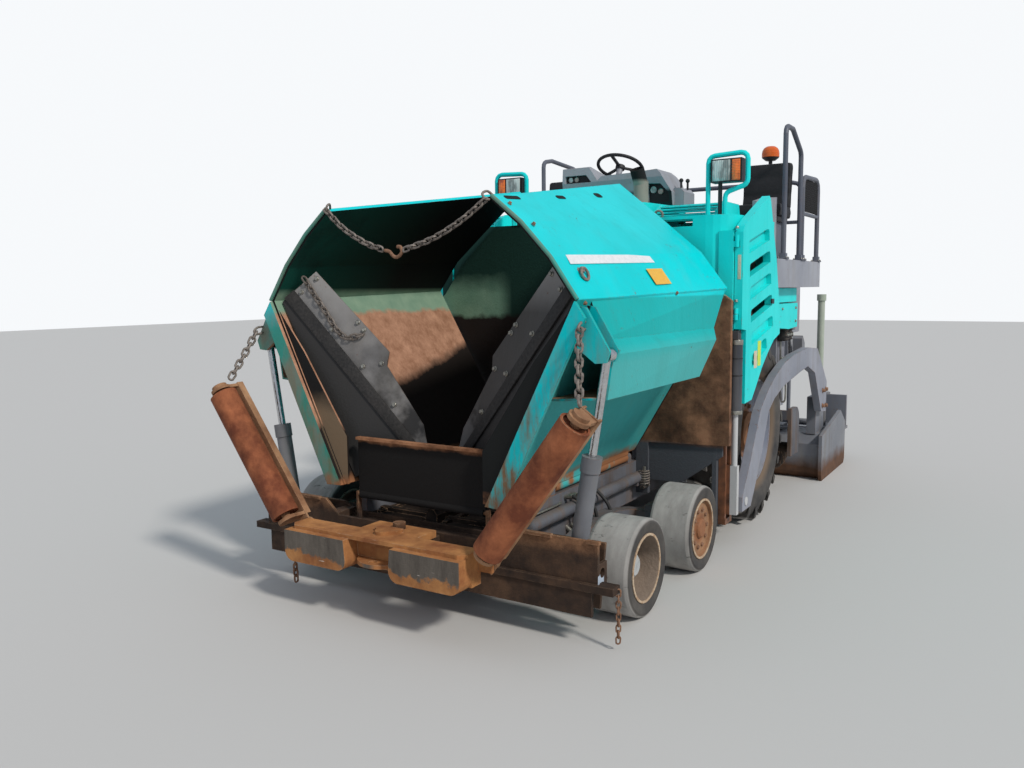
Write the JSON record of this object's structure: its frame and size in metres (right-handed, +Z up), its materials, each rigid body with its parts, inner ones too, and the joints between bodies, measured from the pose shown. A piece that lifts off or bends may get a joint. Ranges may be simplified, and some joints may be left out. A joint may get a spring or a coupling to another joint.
{
  "type": "wheeled asphalt paver",
  "caption": "Wheeled asphalt paver with a folded hopper, push rollers on a swinging crossbar, a two-seat platform, augers and an extending screed.",
  "frame": {"origin": "on the ground, under the middle of the machine's box", "axes": "front faces -Y, +X is the machine's left side, +Z is up"},
  "size_m": [2.55, 6.14, 3.028],
  "materials": {
    "green_paint": "satin",
    "grey_paint": "satin",
    "rusty_steel": "rough",
    "dark_steel": "satin",
    "tyre": "matte",
    "chrome_rod": "polished",
    "black_plastic": "matte",
    "lamp": "clear"
  },
  "bodies": {
    "machine": {"main_frame": "grey_paint", "conveyor": "dark_steel", "front_beam": "rusty_steel", "bulkhead": "rusty_steel", "axles": "grey_paint", "engine": "rusty_steel", "hood": "green_paint", "exhaust": "dark_steel", "lamps": "lamp", "lamp_guards": "green_paint", "platform": "grey_paint", "side_boxes": "green_paint", "rails": "dark_steel", "seats": "black_plastic", "console": "grey_paint", "levelling_cylinders": "dark_steel", "auger_housing": "grey_paint"},
    "knuckle_1_left": {"knuckle_1_left": "grey_paint"},
    "wheel_1_left": {"tyre_1_left": "tyre", "rim_1_left": "grey_paint"},
    "knuckle_1_right": {"knuckle_1_right": "grey_paint"},
    "wheel_1_right": {"tyre_1_right": "tyre", "rim_1_right": "grey_paint"},
    "knuckle_2_left": {"knuckle_2_left": "grey_paint"},
    "wheel_2_left": {"tyre_2_left": "tyre", "rim_2_left": "grey_paint"},
    "knuckle_2_right": {"knuckle_2_right": "grey_paint"},
    "wheel_2_right": {"tyre_2_right": "tyre", "rim_2_right": "grey_paint"},
    "wheel_rear_left": {"tyre_rear_left": "tyre", "rim_rear_left": "grey_paint"},
    "wheel_rear_right": {"tyre_rear_right": "tyre", "rim_rear_right": "grey_paint"},
    "steering_wheel": {"steering_wheel": "black_plastic"},
    "crossbar": {"crossbar": "rusty_steel"},
    "roller_arm_left": {"roller_arm_left": "rusty_steel"},
    "push_roller_left": {"push_roller_left": "rusty_steel"},
    "roller_arm_right": {"roller_arm_right": "rusty_steel"},
    "push_roller_right": {"push_roller_right": "rusty_steel"},
    "wing_left": {"wing_left": "green_paint", "corner_plate_left": "grey_paint"},
    "wing_barrel_left": {"wing_barrel_left": "grey_paint"},
    "wing_rod_left": {"wing_rod_left": "chrome_rod"},
    "wing_right": {"wing_right": "green_paint", "corner_plate_right": "grey_paint"},
    "wing_barrel_right": {"wing_barrel_right": "grey_paint"},
    "wing_rod_right": {"wing_rod_right": "chrome_rod"},
    "apron": {"apron": "rusty_steel"},
    "louvre_door_left": {"louvre_door_left": "green_paint"},
    "auger_left": {"auger_left": "dark_steel"},
    "louvre_door_right": {"louvre_door_right": "green_paint"},
    "auger_right": {"auger_right": "dark_steel"},
    "screed_frame": {"tow_arms": "grey_paint", "screed": "grey_paint"},
    "screed_extension_left": {"screed_extension_left": "grey_paint"},
    "lift_barrel_left": {"lift_barrel_left": "grey_paint"},
    "lift_rod_left": {"lift_rod_left": "chrome_rod"},
    "screed_extension_right": {"screed_extension_right": "grey_paint"},
    "lift_barrel_right": {"lift_barrel_right": "grey_paint"},
    "lift_rod_right": {"lift_rod_right": "chrome_rod"}
  },
  "joints": [
    {"name": "steer_1_left", "type": "hinge", "parent": "machine", "child": "knuckle_1_left", "pos_m": [0.86, -2.15, 0.27], "axis": [0, 0, 1], "range_deg": [-18, 18]},
    {"name": "spin_1_left", "type": "hinge", "parent": "knuckle_1_left", "child": "wheel_1_left", "pos_m": [1.065, -2.15, 0.27], "axis": [1, 0, 0], "continuous": true},
    {"name": "steer_1_right", "type": "hinge", "parent": "machine", "child": "knuckle_1_right", "pos_m": [-0.86, -2.15, 0.27], "axis": [0, 0, 1], "range_deg": [-18, 18]},
    {"name": "spin_1_right", "type": "hinge", "parent": "knuckle_1_right", "child": "wheel_1_right", "pos_m": [-1.065, -2.15, 0.27], "axis": [1, 0, 0], "continuous": true},
    {"name": "steer_2_left", "type": "hinge", "parent": "machine", "child": "knuckle_2_left", "pos_m": [0.86, -1.265, 0.27], "axis": [0, 0, 1], "range_deg": [-13.5, 13.5]},
    {"name": "spin_2_left", "type": "hinge", "parent": "knuckle_2_left", "child": "wheel_2_left", "pos_m": [1.065, -1.265, 0.27], "axis": [1, 0, 0], "continuous": true},
    {"name": "steer_2_right", "type": "hinge", "parent": "machine", "child": "knuckle_2_right", "pos_m": [-0.86, -1.265, 0.27], "axis": [0, 0, 1], "range_deg": [-13.5, 13.5]},
    {"name": "spin_2_right", "type": "hinge", "parent": "knuckle_2_right", "child": "wheel_2_right", "pos_m": [-1.065, -1.265, 0.27], "axis": [1, 0, 0], "continuous": true},
    {"name": "spin_rear_left", "type": "hinge", "parent": "machine", "child": "wheel_rear_left", "pos_m": [0.9625, 0.12, 0.6825], "axis": [1, 0, 0], "continuous": true},
    {"name": "spin_rear_right", "type": "hinge", "parent": "machine", "child": "wheel_rear_right", "pos_m": [-0.9625, 0.12, 0.6825], "axis": [1, 0, 0], "continuous": true},
    {"name": "steering_wheel_turn", "type": "hinge", "parent": "machine", "child": "steering_wheel", "pos_m": [-0.18, 0.36, 2.61], "axis": [0, 0.4226, 0.9063], "range_deg": [-540, 540]},
    {"name": "crossbar_swing", "type": "hinge", "parent": "machine", "child": "crossbar", "pos_m": [0, -2.79, 0.42], "axis": [0, 0, 1], "range_deg": [-5, 5]},
    {"name": "roller_arm_fold_left", "type": "hinge", "parent": "crossbar", "child": "roller_arm_left", "pos_m": [0.64, -2.85, 0.42], "axis": [0, 1, 0], "range_deg": [0, 54]},
    {"name": "push_roller_spin_left", "type": "hinge", "parent": "roller_arm_left", "child": "push_roller_left", "pos_m": [0.69878, -2.962, 0.5009], "axis": [0.5878, 0, 0.809], "continuous": true},
    {"name": "roller_arm_fold_right", "type": "hinge", "parent": "crossbar", "child": "roller_arm_right", "pos_m": [-0.64, -2.85, 0.42], "axis": [0, -1, 0], "range_deg": [0, 54]},
    {"name": "push_roller_spin_right", "type": "hinge", "parent": "roller_arm_right", "child": "push_roller_right", "pos_m": [-0.69878, -2.962, 0.5009], "axis": [-0.5878, 0, 0.809], "continuous": true},
    {"name": "wing_open_left", "type": "hinge", "parent": "machine", "child": "wing_left", "pos_m": [0.5, -1.7, 0.6], "axis": [0, 1, 0], "range_deg": [0, 38]},
    {"name": "wing_cylinder_swing_left", "type": "hinge", "parent": "machine", "child": "wing_barrel_left", "pos_m": [1, -2.6, 0.4], "axis": [0, 1, 0], "range_deg": [0, 41.09]},
    {"name": "wing_rod_slide_left", "type": "slide", "parent": "wing_barrel_left", "child": "wing_rod_left", "axis": [0.1584, 0, 0.9874], "range_m": [-0.348, 0]},
    {"name": "wing_open_right", "type": "hinge", "parent": "machine", "child": "wing_right", "pos_m": [-0.5, -1.7, 0.6], "axis": [0, -1, 0], "range_deg": [0, 38]},
    {"name": "wing_cylinder_swing_right", "type": "hinge", "parent": "machine", "child": "wing_barrel_right", "pos_m": [-1, -2.6, 0.4], "axis": [0, -1, 0], "range_deg": [0, 41.09]},
    {"name": "wing_rod_slide_right", "type": "slide", "parent": "wing_barrel_right", "child": "wing_rod_right", "axis": [-0.1584, 0, 0.9874], "range_m": [-0.348, 0]},
    {"name": "apron_tilt", "type": "hinge", "parent": "machine", "child": "apron", "pos_m": [0, -2.6, 0.58], "axis": [1, 0, 0], "range_deg": [0, 50]},
    {"name": "louvre_door_open_left", "type": "hinge", "parent": "machine", "child": "louvre_door_left", "pos_m": [1.212, -0.737, 1.6], "axis": [0, 0, -1], "range_deg": [0, 85]},
    {"name": "auger_spin_left", "type": "hinge", "parent": "machine", "child": "auger_left", "pos_m": [0.6, 1.4, 0.34], "axis": [1, 0, 0], "continuous": true},
    {"name": "louvre_door_open_right", "type": "hinge", "parent": "machine", "child": "louvre_door_right", "pos_m": [-1.212, -0.737, 1.6], "axis": [0, 0, 1], "range_deg": [0, 85]},
    {"name": "auger_spin_right", "type": "hinge", "parent": "machine", "child": "auger_right", "pos_m": [-0.6, 1.4, 0.34], "axis": [1, 0, 0], "continuous": true},
    {"name": "screed_lift", "type": "hinge", "parent": "machine", "child": "screed_frame", "pos_m": [0, -0.56, 0.3], "axis": [1, 0, 0], "range_deg": [0, 7]},
    {"name": "screed_extend_left", "type": "slide", "parent": "screed_frame", "child": "screed_extension_left", "axis": [1, 0, 0], "range_m": [0, 1.2]},
    {"name": "lift_cylinder_swing_left", "type": "hinge", "parent": "machine", "child": "lift_barrel_left", "pos_m": [1.05, 1.29, 1.72], "axis": [1, 0, 0], "range_deg": [-14.52, 0]},
    {"name": "lift_rod_slide_left", "type": "slide", "parent": "lift_barrel_left", "child": "lift_rod_left", "axis": [0, 0.1012, -0.9949], "range_m": [-0.2259, 0]},
    {"name": "screed_extend_right", "type": "slide", "parent": "screed_frame", "child": "screed_extension_right", "axis": [-1, 0, 0], "range_m": [0, 1.2]},
    {"name": "lift_cylinder_swing_right", "type": "hinge", "parent": "machine", "child": "lift_barrel_right", "pos_m": [-1.05, 1.29, 1.72], "axis": [1, 0, 0], "range_deg": [-14.52, 0]},
    {"name": "lift_rod_slide_right", "type": "slide", "parent": "lift_barrel_right", "child": "lift_rod_right", "axis": [0, 0.1012, -0.9949], "range_m": [-0.2259, 0]}
  ],
  "couplings": [
    {"joint": "steer_1_right", "follows": "steer_1_left", "ratio": 1},
    {"joint": "steer_2_left", "follows": "steer_1_left", "ratio": 0.75},
    {"joint": "steer_2_right", "follows": "steer_1_left", "ratio": 0.75},
    {"joint": "steering_wheel_turn", "follows": "steer_1_left", "ratio": 30},
    {"joint": "wing_cylinder_swing_left", "follows": "wing_open_left", "ratio": 1.0801},
    {"joint": "wing_rod_slide_left", "follows": "wing_open_left", "m_per_rad": -0.52395},
    {"joint": "wing_cylinder_swing_right", "follows": "wing_open_right", "ratio": 1.0801},
    {"joint": "wing_rod_slide_right", "follows": "wing_open_right", "m_per_rad": -0.52395},
    {"joint": "lift_cylinder_swing_left", "follows": "screed_lift", "ratio": -2.0675},
    {"joint": "lift_rod_slide_left", "follows": "screed_lift", "m_per_rad": -1.8452},
    {"joint": "lift_cylinder_swing_right", "follows": "screed_lift", "ratio": -2.0675},
    {"joint": "lift_rod_slide_right", "follows": "screed_lift", "m_per_rad": -1.8452}
  ]
}
